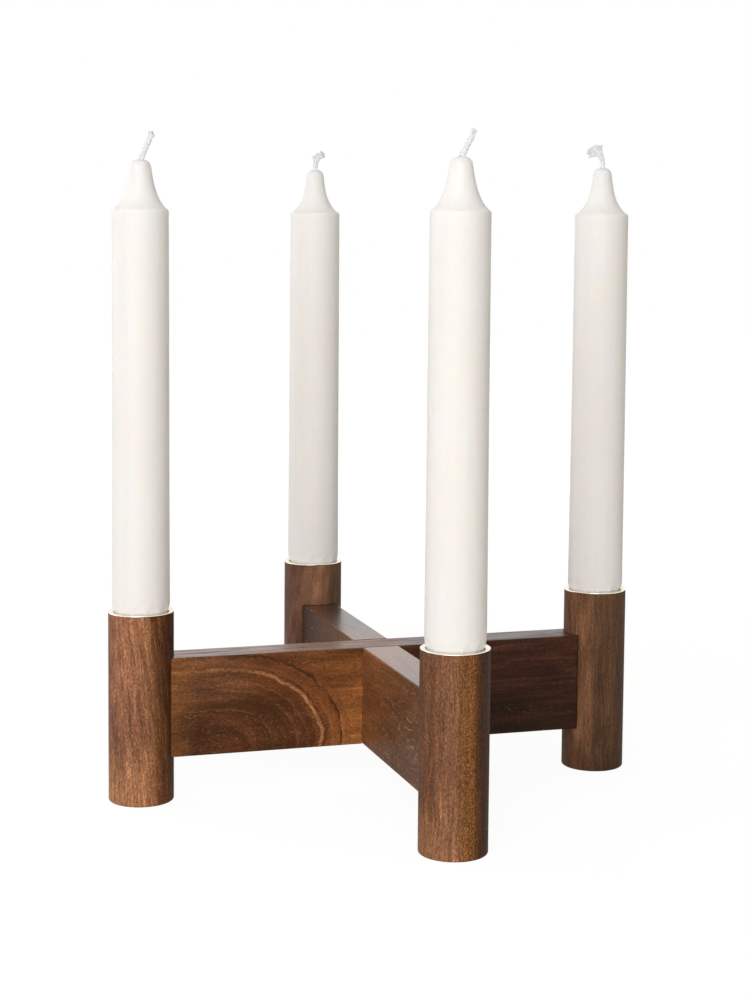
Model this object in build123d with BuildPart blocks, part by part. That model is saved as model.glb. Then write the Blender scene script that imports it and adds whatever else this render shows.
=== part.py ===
from build123d import *
import math
import os

# Advent candle holder: two hardwood rails halved into a cross, a turned post on each rail end,
# a pressed brass cup in the top of each post, and a candle with its wick standing in each cup.
# Millimetres. X runs along the left-right rail, Y along the front-back rail, Z is up, and the
# origin is on the table under the middle of the cross.

# Candle. It stands on a narrowed foot, and the cups and the posts are sized for that foot.
CANDLE_DIAMETER = 22.0
CANDLE_SHOULDER_DIAMETER = 21.2
CANDLE_SHOULDER_HEIGHT = 167.5
SHOULDER_LEDGE = 0.5
BELL_HEIGHT = 9.0
BELL_TOP_DIAMETER = 10.6
BELL_SAG = 0.8
NECK_HEIGHT = 9.6
NECK_TOP_DIAMETER = 7.4
NECK_ROUNDING = 1.8
FOOT_BASE_DIAMETER = 19.4
FOOT_TOP_DIAMETER = 20.4
FOOT_STAND_PROUD = 0.3
FOOT_FLARE_HEIGHT = 3.4
FOOT_EDGE = 0.6

# Wick
WICK_DIAMETER = 2.0
WICK_FIT = 0.02
WICK_RECESS = 1.0
WICK_BEND_RADIUS = 2.0
WICK_TUFT_THICKNESS = 1.8
TIDY_TUFT_LENGTH = 2.0
TIDY_TUFT_WIDTH = 2.8
RIGHT_TUFT_LENGTH = 4.6
RIGHT_TUFT_WIDTH = 5.8
BACK_TUFT_LENGTH = 3.6
BACK_TUFT_WIDTH = 5.6

# Pressed brass cup
CUP_PLAY = 0.3
CUP_WALL = 0.4
CUP_DEPTH = 15.0
CUP_MOUTH_RADIUS = 0.35
CUP_FLOOR_RADIUS = 1.2
CUP_FIT = 0.05
CUP_FLOOR_GAP = 0.3

# Turned posts
POST_LIP = 1.55
POST_HEIGHT = 73.0
POST_SPACING = 188.0
POST_FOOT_ROUNDING = 0.8
SOCKET_WEB = 1.95

# Rails and their halving joint
RAIL_THICKNESS = 15.0
RAIL_HEIGHT = 38.5
RAIL_EDGE_RADIUS = 0.8
LAP_NOTCH_DEPTH = 19.25
LAP_CLEARANCE = 0.1
SEAT_CLEARANCE = 0.1

# Glued dowels between rails and posts
DOWEL_DIAMETER = 6.0
DOWEL_LENGTH = 28.0
DOWEL_IN_POST = 12.0
DOWEL_SPACING = 20.0
DOWEL_CHAMFER = 0.6
DOWEL_FIT = 0.05
DOWEL_END_GAP = 0.5

# Direction of each arm from the middle of the cross, in degrees about Z.
ARMS = {"left": 180.0, "right": 0.0, "front": 270.0, "back": 90.0}

# Each wick's free end, in the vertical plane that all four lean in: how far above the wax it bends,
# where its stub ends (sideways, up), and the length and width of its frayed tuft.
WICK_PLANE_ANGLE = -17.0
WICK_ENDS = {
    "left": (0.6, (3.7, 8.3), TIDY_TUFT_LENGTH, TIDY_TUFT_WIDTH),
    "right": (4.0, (-0.7, 4.7), RIGHT_TUFT_LENGTH, RIGHT_TUFT_WIDTH),
    "front": (0.6, (3.8, 7.4), TIDY_TUFT_LENGTH, TIDY_TUFT_WIDTH),
    "back": (2.9, (0.3, 3.8), BACK_TUFT_LENGTH, BACK_TUFT_WIDTH),
}

# Sizes that follow from the ones above.
cup_inner_radius = FOOT_TOP_DIAMETER / 2 + CUP_PLAY
cup_outer_radius = cup_inner_radius + CUP_WALL
socket_radius = cup_outer_radius + CUP_FIT
post_radius = socket_radius + POST_LIP
cup_rim_height = POST_HEIGHT + CUP_WALL
cup_floor_height = cup_rim_height - CUP_DEPTH
socket_depth = CUP_DEPTH + CUP_FLOOR_GAP
rail_top_height = POST_HEIGHT - socket_depth - SOCKET_WEB
rail_middle_height = rail_top_height - RAIL_HEIGHT / 2
lap_height = rail_top_height - RAIL_HEIGHT + LAP_NOTCH_DEPTH
seat_offset = math.sqrt(post_radius**2 - (RAIL_THICKNESS / 2) ** 2)
rail_length = POST_SPACING - 2 * seat_offset
candle_tip_height = cup_floor_height + CANDLE_SHOULDER_HEIGHT + BELL_HEIGHT + NECK_HEIGHT


def arm_direction(arm):
    """Unit vector from the middle of the cross out to the arm's post."""
    angle = math.radians(ARMS[arm])
    return Vector(round(math.cos(angle)), round(math.sin(angle)), 0)


def post_plane(arm):
    """Plane on the table under the arm's post, with its X pointing outwards."""
    outwards = arm_direction(arm)
    return Plane(origin=outwards * (POST_SPACING / 2), x_dir=outwards, z_dir=(0, 0, 1))


def profile_plane(arm):
    """Upright plane through the post's axis: X is the radius and Y is the height."""
    outwards = arm_direction(arm)
    across = Vector(0, 0, 1).cross(outwards)
    return Plane(origin=outwards * (POST_SPACING / 2), x_dir=outwards, z_dir=-across)


def seat_plane(arm):
    """Plane of the flat that the rail's end sits on, facing the middle of the cross."""
    outwards = arm_direction(arm)
    origin = outwards * (POST_SPACING / 2 - seat_offset) + Vector(0, 0, rail_middle_height)
    return Plane(origin=origin, x_dir=Vector(0, 0, 1).cross(-outwards), z_dir=-outwards)


def post_axis(arm):
    """Vertical axis of the arm's post, for turned pieces."""
    return Axis(post_plane(arm).origin, (0, 0, 1))


def finish_piece(builder, name):
    """Name a finished piece and write it out."""
    builder.part.label = name
    export_step(builder.part, f"parts/{name}.step")


def make_rail(arms, notch_from_top, name):
    """Rail from one post's flat to the other's, with eased edges, a notch and dowel holes."""
    across = Plane(origin=(0, 0, rail_middle_height), x_dir=arm_direction(arms[1]), z_dir=(0, 0, 1))
    notch_width = RAIL_THICKNESS + 2 * LAP_CLEARANCE
    with BuildPart(across) as rail:
        Box(rail_length, RAIL_THICKNESS, RAIL_HEIGHT)
        fillet(rail.edges(), RAIL_EDGE_RADIUS)
        with BuildSketch(across.offset(lap_height - rail_middle_height)):
            Rectangle(notch_width, 2 * RAIL_THICKNESS)
        extrude(amount=RAIL_HEIGHT if notch_from_top else -RAIL_HEIGHT, mode=Mode.SUBTRACT)
        for arm in arms:
            with BuildSketch(seat_plane(arm)):
                with Locations((0, DOWEL_SPACING / 2), (0, -DOWEL_SPACING / 2)):
                    Circle(DOWEL_DIAMETER / 2 + DOWEL_FIT)
            extrude(amount=DOWEL_LENGTH - DOWEL_IN_POST + DOWEL_END_GAP, mode=Mode.SUBTRACT)
    finish_piece(rail, name)


def make_post(arm):
    """Turned post with a blind socket in its top, a flat seat for the rail and two dowel holes."""
    seat = seat_plane(arm)
    with BuildPart(post_plane(arm)) as post:
        Cylinder(post_radius, POST_HEIGHT, align=(Align.CENTER, Align.CENTER, Align.MIN))
        fillet(post.edges().group_by(Axis.Z)[0], POST_FOOT_ROUNDING)
        with BuildSketch(post_plane(arm).offset(POST_HEIGHT)):
            Circle(socket_radius)
        extrude(amount=-socket_depth, mode=Mode.SUBTRACT)
        with BuildSketch(seat):
            Rectangle(2 * post_radius, RAIL_HEIGHT + 2 * SEAT_CLEARANCE)
        extrude(amount=post_radius, mode=Mode.SUBTRACT)
        with BuildSketch(seat):
            with Locations((0, DOWEL_SPACING / 2), (0, -DOWEL_SPACING / 2)):
                Circle(DOWEL_DIAMETER / 2 + DOWEL_FIT)
        extrude(amount=-(DOWEL_IN_POST + DOWEL_END_GAP), mode=Mode.SUBTRACT)
    finish_piece(post, f"{arm}_post")


def make_dowel(arm, offset, name):
    """Straight dowel with chamfered ends, part in the post and part in the rail's end."""
    start = seat_plane(arm).offset(-DOWEL_IN_POST)
    with BuildPart() as dowel:
        with BuildSketch(start):
            with Locations((0, offset)):
                Circle(DOWEL_DIAMETER / 2)
        extrude(amount=DOWEL_LENGTH)
        chamfer(dowel.edges().filter_by(GeomType.CIRCLE), DOWEL_CHAMFER)
    finish_piece(dowel, name)


def make_cup(arm):
    """Cup of thin sheet: a flat rim as wide as the post, a straight wall and a closed floor."""
    rim_bottom = POST_HEIGHT
    floor_bottom = cup_floor_height - CUP_WALL
    with BuildPart() as cup:
        with BuildSketch(profile_plane(arm)):
            with BuildLine():
                Polyline(
                    (0, floor_bottom),
                    (cup_outer_radius, floor_bottom),
                    (cup_outer_radius, rim_bottom),
                    (post_radius, rim_bottom),
                    (post_radius, cup_rim_height),
                    (cup_inner_radius, cup_rim_height),
                    (cup_inner_radius, cup_floor_height),
                    (0, cup_floor_height),
                    close=True,
                )
            make_face()
        revolve(axis=post_axis(arm))
        outer_edges = cup.edges().filter_by(GeomType.CIRCLE)
        floor_edge = outer_edges.group_by(Axis.Z)[0].sort_by(SortBy.RADIUS)[-1]
        fillet(floor_edge, CUP_FLOOR_RADIUS)
        mouth_edge = cup.edges().filter_by(GeomType.CIRCLE).group_by(Axis.Z)[-1].sort_by(SortBy.RADIUS)[0]
        fillet(mouth_edge, CUP_MOUTH_RADIUS)
    finish_piece(cup, f"{arm}_cup")


def make_candle(arm):
    """Candle turned from one profile: narrowed foot, long body, bell, neck and a wick channel."""
    base = cup_floor_height
    channel = WICK_DIAMETER / 2 + WICK_FIT
    foot_top = cup_rim_height + FOOT_STAND_PROUD
    shoulder = base + CANDLE_SHOULDER_HEIGHT
    bell_top = shoulder + BELL_HEIGHT
    shoulder_radius = CANDLE_SHOULDER_DIAMETER / 2
    with BuildPart() as candle:
        with BuildSketch(profile_plane(arm)):
            with BuildLine():
                rise = Polyline(
                    (channel, candle_tip_height),
                    (channel, base),
                    (FOOT_BASE_DIAMETER / 2 - FOOT_EDGE, base),
                    (FOOT_BASE_DIAMETER / 2, base + FOOT_EDGE),
                    (FOOT_TOP_DIAMETER / 2, foot_top),
                    (CANDLE_DIAMETER / 2, foot_top + FOOT_FLARE_HEIGHT),
                    (shoulder_radius, shoulder),
                    (shoulder_radius - SHOULDER_LEDGE, shoulder),
                )
                bell = SagittaArc(rise @ 1, (BELL_TOP_DIAMETER / 2, bell_top), BELL_SAG)
                Polyline(
                    bell @ 1,
                    (NECK_TOP_DIAMETER / 2, candle_tip_height),
                    (channel, candle_tip_height),
                )
            make_face()
        revolve(axis=post_axis(arm))
        rim = candle.edges().filter_by(GeomType.CIRCLE).group_by(Axis.Z)[-1].sort_by(SortBy.RADIUS)[-1]
        fillet(rim, NECK_ROUNDING)
    finish_piece(candle, f"{arm}_candle")


def make_wick(arm):
    """Wick through the whole candle, bent above the wax, with a tuft that widens to its frayed end."""
    bend_height, stub_end, tuft_length, tuft_width = WICK_ENDS[arm]
    angle = math.radians(WICK_PLANE_ANGLE)
    sideways = Vector(math.cos(angle), math.sin(angle), 0)
    leaning = Plane(origin=post_plane(arm).origin, x_dir=sideways, z_dir=sideways.cross(Vector(0, 0, 1)))
    start_height = cup_floor_height + WICK_RECESS
    with BuildPart() as wick:
        with BuildLine(leaning) as route:
            FilletPolyline(
                (0, start_height),
                (0, candle_tip_height + bend_height),
                (stub_end[0], candle_tip_height + stub_end[1]),
                radius=WICK_BEND_RADIUS,
            )
        line = route.wires()[0]
        with BuildSketch(Plane(origin=line @ 0, z_dir=line % 0)):
            Circle(WICK_DIAMETER / 2)
        sweep(path=line)
        tuft = Plane(origin=line @ 1, x_dir=leaning.z_dir, z_dir=line % 1)
        with BuildSketch(tuft):
            Circle(WICK_DIAMETER / 2)
        with BuildSketch(tuft.offset(tuft_length)):
            Ellipse(WICK_TUFT_THICKNESS / 2, tuft_width / 2)
        loft()
    finish_piece(wick, f"{arm}_wick")


os.makedirs("parts", exist_ok=True)
make_rail(("left", "right"), notch_from_top=False, name="left_right_rail")
make_rail(("front", "back"), notch_from_top=True, name="front_back_rail")
for arm in ARMS:
    make_post(arm)
    make_cup(arm)
    make_candle(arm)
    make_wick(arm)
    make_dowel(arm, DOWEL_SPACING / 2, f"{arm}_upper_dowel")
    make_dowel(arm, -DOWEL_SPACING / 2, f"{arm}_lower_dowel")
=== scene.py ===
# %% [markdown]
# # An advent candle holder
# Two wooden rails cross in a halving joint, and a round post stands at each of the four ends.
# Every post holds a thin brass cup, and every cup holds an ivory candle with a braided wick.
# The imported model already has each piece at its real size, so this lesson only dresses it:
# the wooden pieces keep their solids and get a finish, while the cups, candles and wicks are
# worked out again as finer surfaces in the same places.

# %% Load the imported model
import math

import bmesh
import bpy
import numpy as np
from mathutils import Matrix, Vector


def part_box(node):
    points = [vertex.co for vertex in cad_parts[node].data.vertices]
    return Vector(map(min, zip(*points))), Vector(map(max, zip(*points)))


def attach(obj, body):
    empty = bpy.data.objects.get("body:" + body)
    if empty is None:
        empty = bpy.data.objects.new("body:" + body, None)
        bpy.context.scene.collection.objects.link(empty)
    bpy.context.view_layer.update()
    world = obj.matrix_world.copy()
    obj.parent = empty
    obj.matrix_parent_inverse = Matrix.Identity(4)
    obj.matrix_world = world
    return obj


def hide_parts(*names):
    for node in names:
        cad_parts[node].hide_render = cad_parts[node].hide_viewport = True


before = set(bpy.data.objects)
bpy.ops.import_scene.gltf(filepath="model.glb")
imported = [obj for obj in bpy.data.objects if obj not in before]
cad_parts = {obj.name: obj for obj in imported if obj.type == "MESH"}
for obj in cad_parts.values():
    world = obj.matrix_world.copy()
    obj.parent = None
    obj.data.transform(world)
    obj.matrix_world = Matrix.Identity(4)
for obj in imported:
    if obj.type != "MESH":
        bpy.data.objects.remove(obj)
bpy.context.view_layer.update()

MM = 0.001
ARMS = ("left", "right", "front", "back")


def middle(node):
    """The centre of a node's box, in millimetres."""
    low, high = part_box(node)
    return np.array((low + high) / 2) / MM


def lowest_and_highest(node):
    """How low and how high a node reaches, in millimetres."""
    low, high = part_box(node)
    return low.z / MM, high.z / MM


AXIS = {arm: middle(f"{arm}_cup")[:2] for arm in ARMS}
print("nodes:", len(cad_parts), "post axes:", {arm: AXIS[arm].round(2).tolist() for arm in ARMS})

# %% [markdown]
# ## The camera
# The viewpoint was worked out from the edges of the posts, rails and candles. The lens axis
# points a little above the middle of the picture, as when a view camera's back is lowered to keep
# tall things upright, and Blender's camera has that as its vertical shift.

# %% Place the camera
CAMERA_PLACE = Vector((-230.3, -738.5, 220.3)) * MM
HEADING = math.radians(17.24)
DIP = math.radians(5.007)
ROLL = math.radians(0.5)
LENS = 71.19
SHIFT_UP = -0.1

camera = bpy.data.objects.new("camera", bpy.data.cameras.new("camera"))
camera.data.lens = LENS
camera.data.shift_y = SHIFT_UP
heading = Matrix.Rotation(-HEADING, 4, "Z")
tilt = Matrix.Rotation(math.pi / 2 - DIP, 4, "X")
roll = Matrix.Rotation(ROLL, 4, "Z")
camera.matrix_world = Matrix.Translation(CAMERA_PLACE) @ heading @ tilt @ roll
bpy.context.scene.collection.objects.link(camera)
bpy.context.scene.camera = camera
print("camera stands", round(CAMERA_PLACE.length, 3), "m from the middle of the holder")

# %% [markdown]
# ## Writing shaders as sums
# A finish is a small network of nodes. Wiring it by hand takes many lines, so one class wraps a
# node's output and lets Python's own signs build the network: `1 - mask` adds a Math node, and so
# does `ring * 0.5`. Every other kind of node comes from its `node` method, which sets the node's
# settings first, because a setting can change which sockets there are.

# %% A socket that works like a number


class Value:
    """A shader output that can be added, multiplied and compared like a number."""

    def __init__(self, tree, socket=None):
        self.tree = tree
        self.socket = socket

    def node(self, kind, settings=None, inputs=None, output=0):
        """Adds a node: its settings first, then a number or a Value for each named input."""
        made = self.tree.nodes.new("ShaderNode" + kind)
        for name, setting in (settings or {}).items():
            if name == "stops":
                self.set_stops(made.color_ramp, setting)
            else:
                setattr(made, name, setting)
        for name, given in (inputs or {}).items():
            if isinstance(given, Value):
                self.tree.links.new(given.socket, made.inputs[name])
            else:
                made.inputs[name].default_value = given
        if isinstance(output, tuple):
            return [Value(self.tree, made.outputs[one]) for one in output]
        return Value(self.tree, made.outputs[output] if len(made.outputs) else None)

    @staticmethod
    def set_stops(ramp, stops):
        """Gives a colour ramp these stops: place from 0 to 1, and colour."""
        for spare in range(len(stops) - len(ramp.elements)):
            ramp.elements.new(1.0)
        for element, (place, colour) in zip(ramp.elements, stops):
            element.position = place
            element.color = colour

    def math(self, operation, first, second=0.0):
        """Adds a Math node on numbers or Values."""
        return self.node("Math", {"operation": operation}, {0: first, 1: second})

    def __add__(self, other):
        return self.math("ADD", self, other)

    def __radd__(self, other):
        return self.math("ADD", other, self)

    def __sub__(self, other):
        return self.math("SUBTRACT", self, other)

    def __rsub__(self, other):
        return self.math("SUBTRACT", other, self)

    def __mul__(self, other):
        return self.math("MULTIPLY", self, other)

    def __rmul__(self, other):
        return self.math("MULTIPLY", other, self)

    def __truediv__(self, other):
        return self.math("DIVIDE", self, other)

    def __pow__(self, other):
        return self.math("POWER", self, other)

    def __abs__(self):
        return self.math("ABSOLUTE", self)


def paint(red, green, blue):
    """Screen levels from 0 to 255, turned by the sRGB curve into the linear light that shaders use."""
    levels = np.array([red, green, blue]) / 255
    linear = np.where(levels <= 0.04045, levels / 12.92, ((levels + 0.055) / 1.055) ** 2.4)
    return (*linear.tolist(), 1.0)


def mix(amount, first, second):
    """From the first colour to the second by an amount from 0 to 1.

    A Mix node has sockets for every kind of data, and 6, 7 and 2 are those for colours."""
    return amount.node("Mix", {"data_type": "RGBA"}, {0: amount, 6: first, 7: second}, 2)


def ease(value, low, high):
    """0 up to low, 1 from high on, and a smooth step between; with low above high it falls."""
    step = {"Value": value, "From Min": low, "From Max": high}
    return value.node("MapRange", {"interpolation_type": "SMOOTHSTEP"}, step)


def new_finish(name):
    """An empty material, and a Value that stands for its node tree."""
    material = bpy.data.materials.new(name)
    material.use_nodes = True
    material.node_tree.nodes.clear()
    return material, Value(material.node_tree)


def surface(shade, **sockets):
    """Ends a finish with one Principled shader. Underscores in a socket's name stand for spaces."""
    inputs = {name.replace("_", " "): given for name, given in sockets.items()}
    shader = shade.node("BsdfPrincipled", {}, inputs)
    shade.node("OutputMaterial", {}, {"Surface": shader})


print("paint(255, 255, 255) is", paint(255, 255, 255))

# %% [markdown]
# ## A white studio
# The holder stands in a white studio with one large soft lamp in front and a little to the left,
# and a weaker one behind it on the left, which keeps the left edges of the candles bright. Both are
# round soft boxes almost two metres away, and the world adds light from all round. What the lens and
# the polish see of it is plain white, because a Light Path node tells those rays from the light that
# falls on the wood. The lamps are a touch cool, and light that comes back from the room and the
# floor is a little warm. To the lens and the polish the floor glows, with just enough plain paper
# under the glow to hold a faint shadow, and further out it glows up to the full white.

# %% World, floor and lamps
WORLD_LEVEL = 0.355
ROOM_TONE = (1.035, 0.975, 0.88)
LAMP_TONE = (0.985, 1.0, 1.035)
LAMP_DISC = math.radians(45)
LAMP_DISTANCE = 1.8
LAMP_TARGET = Vector((0.0, 0.0, 0.12))
KEY_LEVEL = 0.56
KEY_AZIMUTH = math.radians(30)
KEY_HEIGHT = math.radians(21)
EDGE_LEVEL = 0.26
EDGE_AZIMUTH = math.radians(135)
EDGE_HEIGHT = math.radians(14)
FLOOR_HALF = 3.0
FLOOR_BOUNCE = 0.72
FLOOR_SEEN = 0.12
FLOOR_GLOW = 0.93
FLOOR_FADE = (0.2, 0.9)


def seen_directly(shade):
    """1 for camera, glossy and transmission rays, 0 for the light that falls on the object."""
    rays = shade.node("LightPath", output=("Is Camera Ray", "Is Glossy Ray", "Is Transmission Ray"))
    return shade.math("MAXIMUM", shade.math("MAXIMUM", rays[0], rays[1]), rays[2])


def grey(level):
    """A grey of a linear level."""
    return (level, level, level, 1.0)


def toned(level):
    """A grey with the warm tone of the room."""
    return (*(level * np.array(ROOM_TONE)).tolist(), 1.0)


world = bpy.data.worlds.new("white_studio")
bpy.context.scene.world = world
world.use_nodes = True
world.node_tree.nodes.clear()
shade = Value(world.node_tree)
room = mix(seen_directly(shade), toned(WORLD_LEVEL), grey(1.0))
backdrop = shade.node("Background", {}, {"Color": room, "Strength": 1.0})
shade.node("OutputWorld", {}, {"Surface": backdrop})

floor_white, shade = new_finish("floor_white")
place = shade.node("TexCoord", output="Object")
distance = shade.node("VectorMath", {"operation": "LENGTH"}, {0: place}, "Value")
strength = FLOOR_GLOW + (1 - FLOOR_GLOW) * ease(distance, *FLOOR_FADE)
bounce = shade.node("BsdfDiffuse", {}, {"Color": toned(FLOOR_BOUNCE)})
paper = shade.node("BsdfDiffuse", {}, {"Color": grey(FLOOR_SEEN)})
glow = shade.node("Emission", {}, {"Color": grey(1.0), "Strength": strength})
lit_paper = shade.node("AddShader", {}, {0: paper, 1: glow})
either = shade.node("MixShader", {}, {0: seen_directly(shade), 1: bounce, 2: lit_paper})
shade.node("OutputMaterial", {}, {"Surface": either})

corners = FLOOR_HALF * np.array([(-1, -1, 0), (1, -1, 0), (1, 1, 0), (-1, 1, 0)])
floor_mesh = bpy.data.meshes.new("floor")
floor_mesh.from_pydata(corners, [], [(0, 1, 2, 3)])
floor_mesh.materials.append(floor_white)
floor = bpy.data.objects.new("floor", floor_mesh)
bpy.context.scene.collection.objects.link(floor)


def lamp(name, level, azimuth, height):
    """A round soft box that fills the angle LAMP_DISC as the holder sees it.

    Its azimuth is counted from the front to the left, and its height is an angle too. Its power is
    level pi^2 (radius^2 + distance^2), which lights a card that faces it at that level."""
    radius = LAMP_DISTANCE * math.tan(LAMP_DISC / 2)
    light = bpy.data.objects.new(name, bpy.data.lights.new(name, "AREA"))
    light.data.shape = "DISK"
    light.data.color = LAMP_TONE
    light.data.size = 2 * radius
    light.data.energy = level * math.pi ** 2 * (radius ** 2 + LAMP_DISTANCE ** 2)
    flat = math.cos(height)
    towards = Vector((-math.sin(azimuth) * flat, -math.cos(azimuth) * flat, math.sin(height)))
    light.location = LAMP_TARGET + towards * LAMP_DISTANCE
    light.rotation_euler = towards.to_track_quat("Z", "Y").to_euler()
    bpy.context.scene.collection.objects.link(light)
    print(name, "stands at", [round(part, 2) for part in light.location], "with level", level)


lamp("key_lamp", KEY_LEVEL, KEY_AZIMUTH, KEY_HEIGHT)
lamp("edge_lamp", EDGE_LEVEL, EDGE_AZIMUTH, EDGE_HEIGHT)
bpy.context.scene.view_settings.view_transform = "Standard"

# %% [markdown]
# ## Oiled hardwood
# Wood is a solid pattern: a board is sawn out of a tree, so its faces, edges and ends all cut
# through the same layers. The finish is therefore worked out in space, not wrapped on a face.
# Each board gets its own axes in millimetres, one along the grain and two across it. Noise that is
# drawn out along the grain makes streaks, and the same noise, less drawn out, makes short flecks.

# %% Grain space
GRAIN_ORDER = {"x": (0, 1, 2), "y": (1, 0, 2), "z": (2, 0, 1)}


def board(shade, direction, centre, lean=0.0):
    """Millimetres along the grain and across it both ways, from the board's centre.

    A lean slants the grain: the first cross direction moves by lean for each millimetre along."""
    place = shade.node("TexCoord", output="Object")
    parts = shade.node("SeparateXYZ", {}, {0: place}, (0, 1, 2))
    order = GRAIN_ORDER[direction]
    along, across, through = (parts[i] * (1 / MM) - float(centre[i]) for i in order)
    return along, across + along * lean, through


def vector(along, across, through):
    """Three Values joined into one place in grain space."""
    return along.node("CombineXYZ", {}, {0: along, 1: across, 2: through})


def noise(grain, along, across, seed=0.0, detail=2.0, roughness=0.5):
    """Soft noise in grain space; along and across are how many features there are in a millimetre."""
    squeeze = {0: grain, 1: (along, across, across), 2: (seed, 2 * seed, 3 * seed)}
    place = grain.node("VectorMath", {"operation": "MULTIPLY_ADD"}, squeeze)
    sockets = {"Vector": place, "Scale": 1.0, "Detail": detail, "Roughness": roughness}
    return grain.node("TexNoise", {}, sockets)


def bands(place, stops):
    """A colour for each place in millimetres, blended between the given (place, colour) stops."""
    low, high = stops[0][0], stops[-1][0]
    shares = [((stop - low) / (high - low), paint(*colour)) for stop, colour in stops]
    return place.node("ValToRGB", {"stops": shares}, {0: (place - low) / (high - low)})


def scaled(colour, gain):
    """A colour made lighter or darker by a factor."""
    return gain.node("VectorMath", {"operation": "SCALE"}, {0: colour, "Scale": gain})


print("grain orders:", GRAIN_ORDER)

# %% [markdown]
# Every board has the same kinds of marks in different strengths. Patches, streaks and short fibres
# make the colour lighter and darker. They are added up as logarithms, so that a light mark and a
# dark one count the same. On top lie pale flecks, which crowd in some places, and long dark pores.
# Grain never runs quite straight, so the marks waver sideways, and a board may bend them further.
# The same noise presses a shallow relief into the surface. Planed tops that a cloth can reach are
# rubbed to a shine, which is a clear coat over the wood, while the turned posts are matt.

# %% The wood finish
WOOD_RELIEF = 0.05 * MM
RELIEF_STRENGTH = 0.7
WOOD_GLOSS = 0.10
WOOD_PORE = (40, 22, 13)
COAT_BLUR = 0.26
STRAY = 3.0
PATCH_SIZE = (0.03, 0.13)
FIBRE_SIZE = (0.95, 2.2)
CROWD_SIZE = (0.04, 0.16)
CROWD_SPREAD = 0.3
FEW_FLECKS = -0.05
FLECK_EDGE = (0.62, 0.76)
PORE_SIZE = (0.13, 1.7)
PORE_EDGE = (0.60, 0.72)


def wavering(axes):
    """Grain that strays sideways by a millimetre or so on its way along the board."""
    along, across, through = axes
    stray = (noise(vector(*axes), 0.05, 0.08, 5.0, 1.0) - 0.5) * STRAY
    return vector(along, across + stray, through - stray)


def wood(name, lie, colour_of, marks, fleck_bias=None, polish=None, flow=wavering):
    """One board's finish from how it lies, its own colours and the strengths of its marks.

    lie is the direction, the centre and, where the grain slants, the lean that board takes.
    fleck_bias(axes) above 0 crowds the flecks and below 0 thins them out. polish(axes) says how much
    the wood shines. flow(axes) is the bent grain that the streaks follow."""
    material, shade = new_finish(name)
    axes = board(shade, *lie)
    grain = wavering(axes)
    seed = marks["seed"]
    patch = noise(grain, *PATCH_SIZE, seed, 2.0) - 0.5
    streak = noise(flow(axes), *marks["run"], seed + 11, 3.0, 0.6) - 0.5
    fibre = noise(grain, *FIBRE_SIZE, seed + 23, 1.0) - 0.5
    bias = fleck_bias(axes) if fleck_bias else FEW_FLECKS
    crowd = (noise(grain, *CROWD_SIZE, seed + 31, 2.0) - 0.5) * CROWD_SPREAD + bias
    fleck = ease(noise(grain, *marks["dash"], seed + 37, 1.0) + crowd, *FLECK_EDGE)
    pore = ease(noise(grain, *PORE_SIZE, seed + 47, 2.0, 0.6), *PORE_EDGE)
    logarithm = patch * marks["patch"] + streak * marks["streak"] + fibre * marks["fibre"]
    colour = scaled(colour_of(axes), shade.math("EXPONENT", logarithm))
    colour = mix(fleck * marks["fleck"], colour, paint(*marks["pale"]))
    colour = mix(pore * marks["pore"], colour, paint(*WOOD_PORE))
    relief = fibre * 0.8 + streak * 0.5 + fleck * 0.2 - pore * 0.6
    bump = shade.node("Bump", {}, {"Strength": RELIEF_STRENGTH, "Distance": WOOD_RELIEF, "Height": relief})
    shine = {"Coat_Weight": polish(axes), "Coat_Roughness": COAT_BLUR} if polish else {}
    roughness = marks["roughness"] + streak * 0.25 + pore * 0.1
    gloss = marks.get("gloss", WOOD_GLOSS)
    surface(shade, Base_Color=colour, Roughness=roughness, Normal=bump, Specular_IOR_Level=gloss, **shine)
    return material


def dress(node, material):
    """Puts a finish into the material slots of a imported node."""
    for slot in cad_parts[node].material_slots:
        slot.material = material
    print(node, "gets", material.name, "with", len(material.node_tree.nodes), "nodes")


print("the relief of the wood is", WOOD_RELIEF / MM, "mm deep")

# %% [markdown]
# ## The arched rail
# The left and right arms are one board, sawn so that the layers surface as arches on its front. A
# layer lies at one distance from the tree's middle. Up to ARCH_PEAK it runs straight along the
# board, and beyond that the distance also counts how far along the point is, so the layer curls
# over and dives through the face. One pale layer and two dark ones draw the arches, thin at the
# left and clearer where they dive. Three tints lie over the layers: red brown above the arches,
# orange low down by the crossing and brown at the upper left. The board's left end is orange too.
# The right arm is dark: partly darker heartwood and partly painted shade where the cross rail's
# front arm shadows it, and that painted shadow deepens towards the arm's lower edge.

# %% Finish the arched rail
ARCH_PEAK = -62.0
ARCH_SLOPE = 0.80
ARCH_LIMIT = 46.0
ARCH_LAST = 39.5
ARCH_MIDDLE = (-7.5, -16.5)
ARCH_STOPS = [
    (0.0, (81, 46, 25)),
    (20.0, (83, 48, 25)),
    (28.0, (97, 56, 30)),
    (31.0, (116, 69, 38)),
    (36.0, (122, 73, 40)),
    (42.0, (134, 82, 44)),
    (47.0, (146, 90, 48)),
    (60.0, (128, 78, 42)),
]
ARCH_PALE = (176, 122, 78)
ARCH_DARK = (58, 31, 16)
RED_BROWN_TOP = dict(along=(-56.0, -34.0), through=(3.0, 17.0), strength=0.55, colour=(90, 52, 30))
ORANGE_CORNER = dict(along=(-24.0, -12.0), through=(2.0, -12.0), strength=0.45, colour=(178, 114, 60))
BROWN_LEFT = dict(along=(-46.0, -62.0), through=(-4.0, 8.0), strength=0.70, colour=(110, 71, 46))
FAINT_LAYERS = [(25.6, 0.5, 0.15), (22.2, 0.5, 0.12), (14.5, 0.6, 0.13), (9.0, 0.5, 0.08)]
PALE_LAYER = (29.9, 0.85)
INNER_DARK_LAYER = (31.2, 0.55)
OUTER_DARK_LAYER = (36.6, 0.75)
OUTER_DARK_HALO = (37.4, 2.6)
ARCH_DIVE = (-62.0, -40.0)
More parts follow.
